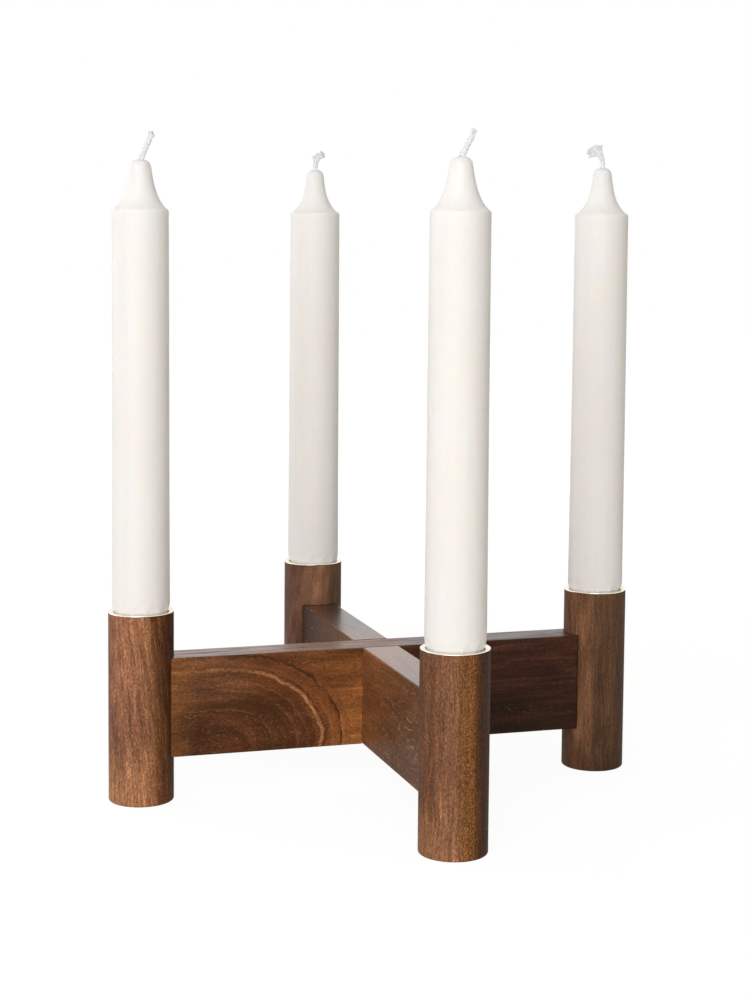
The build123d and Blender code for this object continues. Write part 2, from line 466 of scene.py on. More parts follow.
FLAT_PART = (-30.0, -58.0)
FLAT_LIFT = 1.3
HALO_PART = (-24.0, -40.0)
LEFT_END = (-72.0, -86.0)
END_ORANGE = (138, 88, 47)
# Past the crossing the right arm is dark, partly heartwood and partly painted shade of the cross rail's
# front arm, with a painted shadow that darkens it from its top edge down to its lower edge.
HEARTWOOD_AND_SHADE_FROM = (2.0, 20.0)
PAINTED_SHADOW_FALL = (14.0, -12.0)
STREAK_RISE = (-14.0, 10.0)
HEARTWOOD_AND_SHADE_UPPER = (59, 32, 23)
HEARTWOOD_AND_SHADOW_LOWER = (24, 11, 7)
DARK_STREAK = (92, 58, 44)
RAIL_HALF_HEIGHT = float(np.ptp(lowest_and_highest("left_right_rail"))) / 2
POLISH_DEPTH = (0.25, 0.05)
POLISH_SPAN = (-80.0, 80.0)
POLISH_FULL = 1.15
WEAR_EDGE = (0.60, 0.36)


def arched_rings(axes):
    """sqrt(across^2 + through^2 + run^2) from the tree's middle, with slow bends and small kinks."""
    along, across, through = axes
    grain = vector(*axes)
    bend = (noise(grain, 0.03, 0.05, 3.0, 2.0) - 0.5) * 2.4
    kink = (noise(grain, 0.22, 0.22, 8.0, 3.0) - 0.5) * 2.6
    past_peak = along.math("MAXIMUM", along - ARCH_PEAK, 0.0) * ARCH_SLOPE
    run = along.math("MINIMUM", past_peak, ARCH_LIMIT)
    a, b = across - ARCH_MIDDLE[0], through - ARCH_MIDDLE[1]
    return (a * a + b * b + run * run) ** 0.5 + bend + kink


def arched_flow(axes):
    """Grain that follows the arches, and beyond the last of them runs straight along the board."""
    along, across, through = axes
    ring = arched_rings(axes)
    past = along.math("GREATER_THAN", ring, ARCH_LAST)
    return vector(along, ring * (1 - past) + through * past, across)


def layer_line(ring, place, half_width):
    """1 in the middle of a thin layer at a place, 0 outside it."""
    return ease(abs(ring - place), half_width, 0.3 * half_width)


def arched_colours(axes):
    """The arches, lighter at the board's left end and dark past the crossing, where the dark is partly
    heartwood and partly painted shade.
    """
    along, across, through = axes
    grain = vector(*axes)
    ring = arched_rings(axes)
    dive = ease(along, *ARCH_DIVE)
    broken = ease(noise(grain, 0.15, 0.15, 55.0, 2.0), 0.36, 0.60)
    jagged = ring + (noise(grain, 0.30, 0.30, 77.0, 2.0) - 0.5) * 2.4
    colour = bands(ring, ARCH_STOPS)
    for tint in (RED_BROWN_TOP, ORANGE_CORNER, BROWN_LEFT):
        amount = ease(along, *tint["along"]) * ease(through, *tint["through"]) * tint["strength"]
        colour = mix(amount, colour, paint(*tint["colour"]))
    for place, width, strength in FAINT_LAYERS:
        colour = mix(layer_line(ring, place, width) * broken * strength, colour, paint(*ARCH_PALE))
    pale = layer_line(ring, *PALE_LAYER) * (0.65 + dive * 0.12) * (0.6 + broken * 0.4)
    colour = mix(pale, colour, paint(*ARCH_PALE))
    flatter = jagged + ease(along, *FLAT_PART) * FLAT_LIFT
    inner = layer_line(jagged, *INNER_DARK_LAYER) * dive * (0.35 + broken * 0.35)
    halo = layer_line(flatter, *OUTER_DARK_HALO) * ease(along, *HALO_PART) * 0.35
    outer = layer_line(flatter, *OUTER_DARK_LAYER) * (0.26 + broken * 0.52)
    for amount in (inner, halo, outer):
        colour = mix(amount, colour, paint(*ARCH_DARK))
    ends = ease(along + (noise(grain, 0.06, 0.10, 58.0, 2.0) - 0.5) * 24.0, *LEFT_END)
    colour = mix(ends * 0.55, colour, paint(*END_ORANGE))
    # Painted shade and painted shadow: the right arm's dark colour, darkest at its lower edge, where the
    # cross rail's front arm shadows it; its pale streaks grow stronger upwards.
    dark = mix(ease(through, *PAINTED_SHADOW_FALL), paint(*HEARTWOOD_AND_SHADE_UPPER), paint(*HEARTWOOD_AND_SHADOW_LOWER))
    lighter = ease(noise(grain, 0.03, 0.50, 83.0, 3.0), 0.48, 0.66)
    dark = mix(lighter * (0.12 + ease(through, *STREAK_RISE) * 0.30), dark, paint(*DARK_STREAK))
    return mix(ease(along, *HEARTWOOD_AND_SHADE_FROM) * 0.95, colour, dark)


def shiny_top(left, right, wear):
    """A shine on a rail's top face, from one level to another along it, with dull streaks of wear."""
    def polish(axes):
        along, across, through = axes
        top = ease(through, *(RAIL_HALF_HEIGHT - depth for depth in POLISH_DEPTH))
        dull = ease(noise(vector(*axes), 0.04, 0.55, 90.0, 3.0, 0.7), *WEAR_EDGE)
        level = left + (right - left) * ease(along, *POLISH_SPAN)
        return top * level * (POLISH_FULL - dull * wear)
    return polish


ARCHED_MARKS = dict(seed=2.0, patch=1.6, streak=1.6, run=(0.05, 0.55), fibre=1.6, fleck=0.32,
                    dash=(0.8, 2.2), pore=0.35, pale=(190, 146, 104), roughness=0.45)


def arched_flecks(axes):
    """A few more flecks low on the board, and fewer on the dark right arm, which is partly heartwood and
    partly painted shade.
    """
    return ease(axes[2], 8.0, -10.0) * 0.04 - 0.05 - ease(axes[0], *HEARTWOOD_AND_SHADE_FROM) * 0.05


arched_lie = ("x", middle("left_right_rail"))
arched_wood = wood("arched_rail_wood", arched_lie, arched_colours, ARCHED_MARKS, arched_flecks,
                   shiny_top(left=0.85, right=0.66, wear=0.9), arched_flow)
dress("left_right_rail", arched_wood)

# %% [markdown]
# ## The cross rail
# The other board has no arches on the side that shows. Its colour changes slowly along the grain,
# from red brown at the crossing to a greyer brown at the front, where pale flecks gather, and to a
# dark brown at the back. That dark brown at the back is painted shade, from the arched rail in
# front of it, and darkest beside the back post. Its sides shine less than those of the arched rail.

# %% Finish the cross rail
# The last two stops, towards the back post, are painted shade.
CROSS_STOPS = [
    (-84.0, (107, 75, 57)),
    (-58.0, (109, 73, 49)),
    (-34.0, (121, 78, 48)),
    (-8.0, (135, 86, 52)),
    (20.0, (118, 75, 46)),
    (44.0, (84, 54, 36)),
    (84.0, (64, 42, 30)),
]
CROSS_MARKS = dict(seed=8.0, patch=0.8, streak=1.3, run=(0.05, 0.8), fibre=2.0, fleck=0.75,
                   dash=(0.22, 1.9), pore=0.30, pale=(196, 164, 138), roughness=0.45, gloss=0.03)
CROSS_LEAN = 0.03
CROSS_SLANT = 0.5
CROSS_DRIFT = 45.0


def cross_colours(axes):
    """Colour by how far along the grain a point is, with slanting edges."""
    along, across, through = axes
    drift = (noise(vector(*axes), 0.02, 0.05, 31.0, 2.0) - 0.5) * CROSS_DRIFT
    return bands(along + through * CROSS_SLANT + drift, CROSS_STOPS)


def cross_flecks(axes):
    """Flecks crowd towards the front end and low down."""
    return ease(axes[0] + axes[2], -20.0, -75.0) * 0.09 - 0.07


cross_lie = ("y", middle("front_back_rail"), CROSS_LEAN)
cross_wood = wood("cross_rail_wood", cross_lie, cross_colours, CROSS_MARKS, cross_flecks,
                  shiny_top(left=1.0, right=1.0, wear=0.12))
dress("front_back_rail", cross_wood)

# %% [markdown]
# ## The four posts
# Each post is turned from its own stick, so the four differ: the left one is light with slanting
# grain, the right one dark and grey, the front one is full of orange flecks on one side, and the
# back one has broad slanting streaks. A stick's layers lie square to one direction, which is turned
# by `turn` from the X axis, and its stops are places along that direction, from one side of the post
# to the other. Each turn lies square to the camera's line of sight to that post, so the stops run
# from one outline of the post to the other as the camera sees it, and they darken towards the ends:
# that darkening is painted shade at the post's outlines. `lean` slants the grain, and `tilt` takes
# part of that slant out of the layers again. `flecks` says where flecks start and are full, and how
# they crowd, and `foot` is the colour of a patch low down.

# %% Finish the posts
# The first and last stops of each stick are painted shade at the post's outlines as the camera sees them.
POSTS = {
    "left": dict(
        turn=-10.4, lean=0.118, tilt=0.08, flecks=(-14.0, -13.0, -0.02), foot=(200, 142, 98), foot_edge=4.0,
        stops=[(-15.0, (107, 72, 54)), (-8.0, (145, 98, 73)), (0.0, (150, 101, 72)),
               (3.6, (142, 97, 66)), (5.4, (116, 74, 46)), (7.0, (99, 62, 36)), (10.0, (87, 54, 32)),
               (15.0, (62, 39, 27))],
        marks=dict(seed=12.0, patch=1.3, streak=2.2, run=(0.075, 0.8), fibre=2.1, fleck=0.30,
                   dash=(0.30, 2.0), pore=0.45, pale=(214, 160, 118), roughness=0.62)),
    "right": dict(
        turn=-23.7, lean=0.01, tilt=0.0, flecks=(-14.0, -13.0, -0.05), foot=(50, 34, 26), foot_edge=14.0,
        stops=[(-14.0, (109, 80, 63)), (-8.6, (120, 82, 58)), (-7.2, (134, 93, 66)),
               (-1.2, (122, 84, 59)), (0.8, (95, 67, 47)), (8.0, (97, 69, 50)),
               (14.0, (74, 53, 42))],
        marks=dict(seed=21.0, patch=1.1, streak=1.9, run=(0.06, 0.85), fibre=1.2, fleck=0.32,
                   dash=(0.22, 1.8), pore=0.42, pale=(168, 128, 96), roughness=0.62)),
    "front": dict(
        turn=-19.6, lean=0.0, tilt=0.0, flecks=(-2.0, 4.0, 0.10), foot=(170, 120, 84), foot_edge=4.0,
        stops=[(-14.0, (93, 61, 42)), (-8.0, (109, 72, 50)), (-4.0, (125, 85, 60)),
               (0.5, (133, 91, 64)), (2.8, (117, 76, 46)), (6.6, (106, 66, 35)), (10.4, (66, 41, 29)),
               (14.0, (55, 35, 27))],
        marks=dict(seed=34.0, patch=0.7, streak=2.0, run=(0.04, 1.0), fibre=2.1, fleck=0.52,
                   dash=(1.4, 2.8), pore=0.45, pale=(202, 138, 79), roughness=0.62)),
    "back": dict(
        turn=-15.4, lean=-0.2, tilt=-0.19, flecks=(-14.0, -13.0, -0.07), foot=(150, 104, 74), foot_edge=4.0,
        stops=[(-14.0, (103, 75, 67)), (-8.0, (103, 71, 56)), (-3.0, (121, 86, 65)),
               (2.0, (135, 96, 72)), (6.0, (124, 88, 65)), (9.0, (103, 76, 58)),
               (14.0, (87, 67, 55))],
        marks=dict(seed=45.0, patch=1.5, streak=1.5, run=(0.10, 0.35), fibre=0.8, fleck=0.20,
                   dash=(0.30, 2.0), pore=0.20, pale=(184, 138, 104), roughness=0.62)),
}
FOOT_PATCH = (-12.0, -34.0)
FOOT_RAGGED = 40.0
FOOT_FADE = 6.0
FOOT_STRENGTH = 0.55
FLECKS_END = (10.0, 6.5)
FLECKS_THIN = 0.08


def layers(axes, turn, seed):
    """Millimetres across a stick's layers: across cos(turn) + through sin(turn), bent and frayed."""
    along, across, through = axes
    grain = vector(*axes)
    angle = math.radians(turn)
    bend = (noise(grain, 0.02, 0.06, seed, 2.0) - 0.5) * 3.0
    fray = (noise(grain, 0.10, 0.5, seed + 5, 3.0) - 0.5) * 1.8
    return across * math.cos(angle) + through * math.sin(angle) + bend + fray


def post_colours(stick):
    """The stick's own layers, whose outer stops are painted shade at the post's outlines, with a patch of
    another colour towards its foot.
    """
    def colours(axes):
        place = layers(axes, stick["turn"], stick["marks"]["seed"]) - axes[0] * stick["tilt"]
        colour = bands(place, stick["stops"])
        ragged = (noise(vector(*axes), 0.05, 0.16, 70.0, 2.0) - 0.5) * FOOT_RAGGED
        low_part = ease(axes[0] + ragged, *FOOT_PATCH)
        near_part = ease(place, stick["foot_edge"], stick["foot_edge"] - FOOT_FADE)
        return mix(low_part * near_part * FOOT_STRENGTH, colour, paint(*stick["foot"]))
    return colours


def post_flecks(stick):
    """Flecks crowd between two layers: from the stick's own start, and they end over FLECKS_END."""
    start, full, crowding = stick["flecks"]

    def bias(axes):
        place = layers(axes, stick["turn"], stick["marks"]["seed"])
        inside = ease(place, start, full) * ease(place, *FLECKS_END)
        return inside * (crowding + FLECKS_THIN) - FLECKS_THIN
    return bias


for arm, stick in POSTS.items():
    lie = ("z", (*AXIS[arm], middle(f"{arm}_post")[2]), stick["lean"])
    post_wood = wood(f"{arm}_post_wood", lie, post_colours(stick), stick["marks"], post_flecks(stick))
    dress(f"{arm}_post", post_wood)

# %% [markdown]
# ## The hidden dowels
# Two beech dowels pin each rail end to its post. They only show when the holder is taken apart,
# but they get the pale, close grain of beech all the same.

# %% Finish the dowels
BEECH_STOPS = [(-4.0, (186, 146, 104)), (0.0, (214, 178, 136)), (4.0, (198, 160, 118))]
BEECH_MARKS = dict(seed=61.0, patch=0.2, streak=0.3, run=(0.07, 0.8), fibre=0.6, fleck=0.5,
                   dash=(0.9, 2.2), pore=0.2, pale=(160, 112, 76), roughness=0.6)
BEECH_TURN = 30.0
BEECH_SEED = 60.0


def beech_colours(axes):
    """Pale layers across a dowel."""
    return bands(layers(axes, BEECH_TURN, BEECH_SEED), BEECH_STOPS)


for arm in ARMS:
    direction = "x" if arm in ("left", "right") else "y"
    for level in ("upper", "lower"):
        node = f"{arm}_{level}_dowel"
        dress(node, wood(f"{node}_beech", (direction, middle(node)), beech_colours, BEECH_MARKS))

# %% [markdown]
# ## Turned surfaces
# Cups and candles are round, so one function turns them: a profile of radius and height is carried
# round an axis. All rings are worked out at once as arrays of angle by profile point, and a
# `shape` function may push the rings in and out to flute or dent them.

# %% Turn a profile round an axis
MERGE_DISTANCE = 0.0001 * MM


def add_piece(name, points, faces, uv, material, sharp):
    """An object at the origin, from points in millimetres, faces and one UV pair a face corner.

    Points that meet are merged, and edges that turn by more than sharp degrees stay hard."""
    mesh = bpy.data.meshes.new(name)
    mesh.from_pydata(points * MM, [], faces.tolist())
    layer = mesh.uv_layers.new(name="wrap")
    layer.data.foreach_set("uv", uv.astype(np.float32).ravel())
    tidy = bmesh.new()
    tidy.from_mesh(mesh)
    bmesh.ops.remove_doubles(tidy, verts=tidy.verts, dist=MERGE_DISTANCE)
    tidy.to_mesh(mesh)
    tidy.free()
    mesh.shade_smooth()
    mesh.set_sharp_from_angle(angle=math.radians(sharp))
    mesh.materials.append(material)
    piece = bpy.data.objects.new(name, mesh)
    bpy.context.scene.collection.objects.link(piece)
    print(name, "has", len(mesh.vertices), "points and", len(mesh.polygons), "faces")
    return piece


def grid(rows, columns, close_rows=False):
    """Quads between neighbouring rows of points, closed round the columns, with UVs in grid steps."""
    steps = rows if close_rows else rows - 1
    row, column = np.meshgrid(np.arange(steps), np.arange(columns), indexing="ij")
    rows_of = row.ravel()[:, None] + np.array([0, 0, 1, 1])
    columns_of = column.ravel()[:, None] + np.array([0, 1, 1, 0])
    faces = (rows_of % rows) * columns + columns_of % columns
    return faces, np.stack([columns_of / columns, rows_of / rows], -1)


def turned(name, axis, profile, segments, material, shape=None, close=False, sharp=35):
    """Revolves (radius, height) points: x = r cos a, y = r sin a, z = h, with r and h shaped by angle."""
    angle = np.linspace(0, 2 * np.pi, segments, endpoint=False)[None, :]
    radius, height = profile[:, 0][:, None], profile[:, 1][:, None]
    if shape:
        radius, height = shape(radius, height, angle)
    radius, height, angle = np.broadcast_arrays(radius, height, angle)
    points = np.stack([axis[0] + radius * np.cos(angle), axis[1] + radius * np.sin(angle), height], -1)
    faces, uv = grid(len(profile), segments, close)
    return add_piece(name, points.reshape(-1, 3), faces, uv, material, sharp)


def arc(centre, radius, start, end, count=7):
    """Points on a circle from one angle in degrees to another."""
    angle = np.radians(np.linspace(start, end, count))
    return np.stack([centre[0] + radius * np.cos(angle), centre[1] + radius * np.sin(angle)], -1)


print("a 3 by 4 grid has", len(grid(3, 4)[0]), "faces")

# %% [markdown]
# ## Brass cups
# The cup is thin brass sheet, spun over a mandrel: a flat rim as wide as the post, a rolled mouth
# and a straight wall. Spun metal keeps faint rings and never lies quite flat, so the rim
# is waved by a few hundredths of a millimetre, and one side stands a hair above the wood.

# %% The brass finish
BRASS_BRIGHT = (252, 243, 226)
BRASS_CLOUD = (242, 222, 186)
BRASS_SPECK = (196, 160, 112)
SPUN_RINGS = 260.0
BRASS_RELIEF = 0.02 * MM

brass, shade = new_finish("spun_brass")
spot = vector(*board(shade, "z", (0, 0, 0)))
wrap = shade.node("SeparateXYZ", {}, {0: shade.node("TexCoord", output="UV")}, (0, 1))
cloud = ease(noise(spot, 0.16, 0.16, 3.0, 3.0), 0.40, 0.66)
speck = ease(noise(spot, 0.9, 0.9, 9.0, 1.0), 0.66, 0.76)
ring_sockets = {"W": wrap[1] * SPUN_RINGS, "Scale": 1.0, "Detail": 2.0}
rings = shade.node("TexNoise", {"noise_dimensions": "1D"}, ring_sockets)
colour = mix(cloud * 0.5, paint(*BRASS_BRIGHT), paint(*BRASS_CLOUD))
colour = mix(speck * 0.35, colour, paint(*BRASS_SPECK))
bump = shade.node("Bump", {}, {"Strength": 0.3, "Distance": BRASS_RELIEF, "Height": rings + cloud * 0.4})
surface(shade, Base_Color=colour, Metallic=1.0, Roughness=0.18 + cloud * 0.10 + rings * 0.06, Normal=bump)
print("brass finish has", len(brass.node_tree.nodes), "nodes")

# %% Spin the cups
CUP_SHEET = 0.4
CUP_INNER = 10.5
CUP_FLOOR_ROUND = 1.2
CUP_INNER_ROUND = 0.8
CUP_MOUTH_ROUND = 0.35
RIM_WAVE = 0.06
RIM_LIFT = 0.22
RIM_LIFT_ANGLE = -0.6
RIM_EASE = 1.3
RIM_ZONE = 1.0
RIM_TURN = 2.1
NECK_DROP = 0.2
NECK_FLARE = 0.05
CUP_SEGMENTS = 160


def cup_profile(low, high, rim):
    """From the middle of the underside, up the outside, over the rim and down to the floor's middle."""
    outer = CUP_INNER + CUP_SHEET
    under = high - CUP_SHEET
    edge = CUP_SHEET / 2
    floor_round = arc((outer - CUP_FLOOR_ROUND, low + CUP_FLOOR_ROUND), CUP_FLOOR_ROUND, -90, 0)
    rim_edge = arc((rim - edge, high - edge), edge, -90, 90)
    mouth = arc((CUP_INNER + CUP_MOUTH_ROUND, high - CUP_MOUTH_ROUND), CUP_MOUTH_ROUND, 90, 180)
    inner_corner = (CUP_INNER - CUP_INNER_ROUND, low + CUP_SHEET + CUP_INNER_ROUND)
    inner_round = arc(inner_corner, CUP_INNER_ROUND, 0, -90)
    return np.vstack([
        [(0, low)], floor_round, [(outer, under - NECK_DROP), (outer + NECK_FLARE, under)],
        rim_edge, mouth, inner_round, [(0, low + CUP_SHEET)]])


def wavy_rim(high, phase):
    """Height + wave sin(3a) + lift (1 + cos(a - RIM_LIFT_ANGLE)) / 2, growing from mouth to rim."""
    def shape(radius, height, angle):
        share = np.clip((radius - CUP_INNER) / RIM_EASE, 0, 1) * (height > high - RIM_ZONE)
        lift = RIM_LIFT * (1 + np.cos(angle - RIM_LIFT_ANGLE)) / 2
        return radius, height + share * (RIM_WAVE * np.sin(3 * angle + phase) + lift)
    return shape


for number, arm in enumerate(ARMS):
    low, high = lowest_and_highest(f"{arm}_cup")
    rim = (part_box(f"{arm}_cup")[1].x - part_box(f"{arm}_cup")[0].x) / 2 / MM
    profile = cup_profile(low, high, rim)
    shape = wavy_rim(high, RIM_TURN * number)
    cup = turned(f"{arm}_brass_cup", AXIS[arm], profile, CUP_SEGMENTS, brass, shape)
    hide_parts(f"{arm}_cup")
    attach(cup, "holder")

# %% [markdown]
# ## Ivory candles
# A pressed candle has a narrowed, fluted foot that grips the cup, a long body that thins a little
# upwards, a soft shoulder and a bell that runs into a blunt tip. The bell is the sum of two
# exponentials, a slow one for the bell and a quick one that sweeps out to the shoulder, and a high
# power of the height rounds it off at the top. The flutes run out in shallow arches just above the
# cup. At the tip some wax has climbed up the side of the wick. Wax lets light in, so the finish
# scatters below the surface, with faint clouds and streaks left by the press.

# %% The wax finish
WAX_PALE = (251, 247, 245)
WAX_CLOUD = (248, 242, 238)
WAX_STREAK = (246, 240, 236)
WAX_SCUFF = (241, 232, 219)
WAX_RELIEF = 0.15 * MM
WAX_DEPTH = 5.0 * MM
WAX_SCATTER = (1.0, 0.75, 0.5)

wax, shade = new_finish("ivory_wax")
upright = vector(*board(shade, "z", (0, 0, 0)))
cloud = ease(noise(upright, 0.03, 0.08, 4.0, 3.0), 0.35, 0.65)
streak = ease(noise(upright, 0.012, 0.45, 9.0, 3.0), 0.35, 0.65)
scuff = ease(noise(upright, 0.5, 0.9, 15.0, 3.0), 0.60, 0.72)
colour = mix(cloud * 0.6, paint(*WAX_PALE), paint(*WAX_CLOUD))
colour = mix(streak * 0.35, colour, paint(*WAX_STREAK))
colour = mix(scuff * 0.25, colour, paint(*WAX_SCUFF))
bump_height = cloud * 0.8 + streak * 0.25 - scuff * 0.1
bump = shade.node("Bump", {}, {"Strength": 0.25, "Distance": WAX_RELIEF, "Height": bump_height})
surface(shade, Base_Color=colour, Roughness=0.45 + cloud * 0.08 + scuff * 0.12, Normal=bump,
        Subsurface_Weight=0.7, Subsurface_Radius=WAX_SCATTER, Subsurface_Scale=WAX_DEPTH,
        Specular_IOR_Level=0.3)
print("wax finish has", len(wax.node_tree.nodes), "nodes")

# %% Press the candles
CHANNEL = 1.2
FOOT_RADIUS = 9.7
FOOT_TOP_RADIUS = 10.4
FOOT_EDGE = 0.6
FOOT_TOP = 15.3
FLARE = 4.6
FLARE_POWER = 5
BODY_RADIUS = 11.0
SHOULDER = 167.5
SHOULDER_RADIUS = 10.6
SHOULDER_ROUND = 0.8
SHOULDER_TURN = 56
TIP_RADIUS = 3.2
BELL_FLARE = 6.6
BELL_FALLS = {"left": 8.0, "right": 6.3, "front": 8.0, "back": 6.3}
SWEEP = 0.8
SWEEP_FALL = 0.9
BELL_HEIGHT = 18.8
BELL_ROUNDING = 20
BELL_START = 0.006
BELL_END = 0.995
MOUND = 0.9
WICK_GRIP = 0.35
MOUND_SIDE = 1.1
FLUTES = 12
FLUTE_DEPTH = 0.32
FLUTE_REACH = 4.2
FLUTE_STEEPNESS = 2.5
CANDLE_TURN = 1.9
WAX_WOBBLE = 0.03
WOBBLE_LENGTH = 23
OUTSIDE_BLEND = 4
CANDLE_SEGMENTS = 192
WICK_PLANE = math.radians(-17.0)
WICK_LEAN = {"left": 1, "right": -1, "front": 1, "back": 1}


def bell(height, fall):
    """Radius at a height above the shoulder: two exponentials, rounded off at the tip."""
    flare = TIP_RADIUS + BELL_FLARE * np.exp(-height / fall) + SWEEP * np.exp(-height / SWEEP_FALL)
    return flare * np.sqrt(1 - (height / BELL_HEIGHT) ** BELL_ROUNDING)


def candle_profile(base, fall):
    """A closed outline: up the outside from the foot, over the tip and down the wick's channel."""
    foot = [(CHANNEL, 0), (FOOT_RADIUS - FOOT_EDGE, 0), (FOOT_RADIUS, FOOT_EDGE)]
    foot_rise = np.linspace(FOOT_EDGE, FOOT_TOP, 8)[1:]
    foot_radius = np.interp(foot_rise, [FOOT_EDGE, FOOT_TOP], [FOOT_RADIUS, FOOT_TOP_RADIUS])
    foot_wall = np.stack([foot_radius, foot_rise], -1)
    share = np.linspace(0, 1, 36)[1:]
    flare_radius = BODY_RADIUS - (BODY_RADIUS - FOOT_TOP_RADIUS) * (1 - share) ** FLARE_POWER
    flare = np.stack([flare_radius, FOOT_TOP + FLARE * share], -1)
    turn = math.radians(SHOULDER_TURN)
    climbs = np.linspace(0, 2, 400)
    step_in = SHOULDER_ROUND * (1 - math.cos(turn))
    first_climb = np.interp(step_in, SHOULDER_RADIUS - bell(climbs, fall), climbs)
    corner = (SHOULDER_RADIUS - SHOULDER_ROUND, SHOULDER + first_climb - SHOULDER_ROUND * math.sin(turn))
    rise = np.linspace(FOOT_TOP + FLARE, corner[1], 70)[1:]
    body_radius = np.interp(rise, [FOOT_TOP + FLARE, SHOULDER], [BODY_RADIUS, SHOULDER_RADIUS])
    body = np.stack([body_radius, rise], -1)
    shoulder = arc(corner, SHOULDER_ROUND, 0, SHOULDER_TURN, 8)[1:]
    bell_start = math.asin(first_climb / BELL_HEIGHT) * 2 / math.pi + BELL_START
    climb = BELL_HEIGHT * np.sin(np.linspace(bell_start, BELL_END, 80) * np.pi / 2)
    bell_wall = np.stack([bell(climb, fall), SHOULDER + climb], -1)
    brim = bell_wall[-1]
    share = np.linspace(0, 1, 9)[1:]
    mound = np.stack([brim[0] + (WICK_GRIP - brim[0]) * share, brim[1] + MOUND * share ** 2], -1)
    channel = np.stack([np.full(30, CHANNEL), np.linspace(mound[-1, 1], 0, 32)[1:-1]], -1)
    outline = np.vstack([foot, foot_wall, flare, body, shoulder, bell_wall, mound, channel])
    return outline + (0, base)


def pressed(base, turn, mound_angle):
    """Cuts the flutes and raises the wax beside the wick.

    A flute takes depth off the radius. It is |sin(flutes a / 2)| less the height above the cup over the
    reach, made steeper and kept from 0 to 1, so that its top is an arch. Near the tip the mound adds
    ((1 + cos(a - mound_angle)) / 2)^2 to the height. A slow wobble keeps the wax from being perfect."""
    def shape(radius, height, angle):
        above_foot = np.clip(height - base - FOOT_TOP, 0, None) / FLUTE_REACH
        arch = np.abs(np.sin(FLUTES * angle / 2 + turn)) - above_foot
        groove = FLUTE_DEPTH * np.clip(FLUTE_STEEPNESS * arch, 0, 1)
        outside = np.clip((radius - CHANNEL) / OUTSIDE_BLEND, 0, 1)
        wobble = WAX_WOBBLE * (np.sin(2 * angle + turn) + np.sin(height / WOBBLE_LENGTH + turn + angle))
        near_tip = np.clip((height - base - SHOULDER - BELL_HEIGHT) / MOUND, 0, 1)
        lift = MOUND_SIDE * near_tip * ((1 + np.cos(angle - mound_angle)) / 2) ** 2
        return radius + outside * (wobble - groove), height + lift
    return shape


for number, arm in enumerate(ARMS):
    base = lowest_and_highest(f"{arm}_candle")[0]
    mound_angle = WICK_PLANE + (math.pi if WICK_LEAN[arm] > 0 else 0.0)
    shape = pressed(base, CANDLE_TURN * number, mound_angle)
    profile = candle_profile(base, BELL_FALLS[arm])
    candle = turned(f"{arm}_wax_candle", AXIS[arm], profile, CANDLE_SEGMENTS, wax, shape, close=True)
    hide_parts(f"{arm}_candle")
    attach(candle, f"{arm}_candle_set")

# %% [markdown]
# ## Braided wicks
# A candle wick is a flat braid of three cotton strands. A strand of a flat braid swings from side to
# side once while it dips front to back twice, so its centre follows (sin t, sin 2t), and the three
# strands are a third of a turn apart. Above the wax the braid bends over, and at its cut end the
# cotton opens into a tuft of separate fibres, which are thin tubes gathered in a few lobes.

# %% The cotton finish
COTTON_DULL = (234, 238, 241)
COTTON_BRIGHT = (240, 244, 247)
COTTON_SHADOW = (216, 219, 222)

cotton, shade = new_finish("wick_cotton")
thread = vector(*board(shade, "z", (0, 0, 0)))
lint = ease(noise(thread, 1.2, 5.0, 2.0, 3.0, 0.6), 0.35, 0.68)
shadow = ease(noise(thread, 0.5, 0.9, 6.0, 2.0), 0.42, 0.66)
colour = mix(lint, paint(*COTTON_DULL), paint(*COTTON_BRIGHT))
colour = mix(shadow * 0.3, colour, paint(*COTTON_SHADOW))
surface(shade, Base_Color=colour, Roughness=0.95 - lint * 0.1, Specular_IOR_Level=0.1)
print("cotton finish has", len(cotton.node_tree.nodes), "nodes")

# %% The braid
SIDEWAYS = np.array([math.cos(WICK_PLANE), math.sin(WICK_PLANE), 0.0])
DEPTH = np.array([-math.sin(WICK_PLANE), math.cos(WICK_PLANE), 0.0])
UP = np.array([0.0, 0.0, 1.0])
WICK_SINK = 1.5
BRAID_STEP = 0.25
BRAID_PITCH = 5.2
BRAID_SWING = 0.40
BRAID_DIP = 0.18
STRAND_RADIUS = 0.65
STRAND_SIDES = 16
PLIES = 4
PLY_DEPTH = 0.02
PLY_PITCH = 2.4
TAPER_STEPS = 2.0


def wick_line(bend, end, root):
    """Sideways and upward points: straight up from the root, then a Bezier curve by way of the bend.

    The points are evenly spaced, and come with their distances along the line."""
    start, knee = np.array([0.0, -WICK_SINK]), np.array([0.0, bend])
    share = np.linspace(0, 1, 80)[:, None]
    curve = (1 - share) ** 2 * start + 2 * share * (1 - share) * knee + share ** 2 * np.array(end)
    line = np.vstack([[(0.0, root)], curve])
    length = np.concatenate([[0], np.cumsum(np.hypot(*np.diff(line, axis=0).T))])
    even = np.arange(0, length[-1], BRAID_STEP)
    return np.stack([np.interp(even, length, line[:, 0]), np.interp(even, length, line[:, 1])], -1), even


def tube(centre, first, second, radius):
    """Rings of points round a line: centre + radius (cos p first + sin p second)."""
    turn = np.linspace(0, 2 * np.pi, radius.shape[-1], endpoint=False)[:, None]
    ring = np.cos(turn) * first[..., None, :] + np.sin(turn) * second[..., None, :]
    return centre[..., None, :] + radius[..., None] * ring


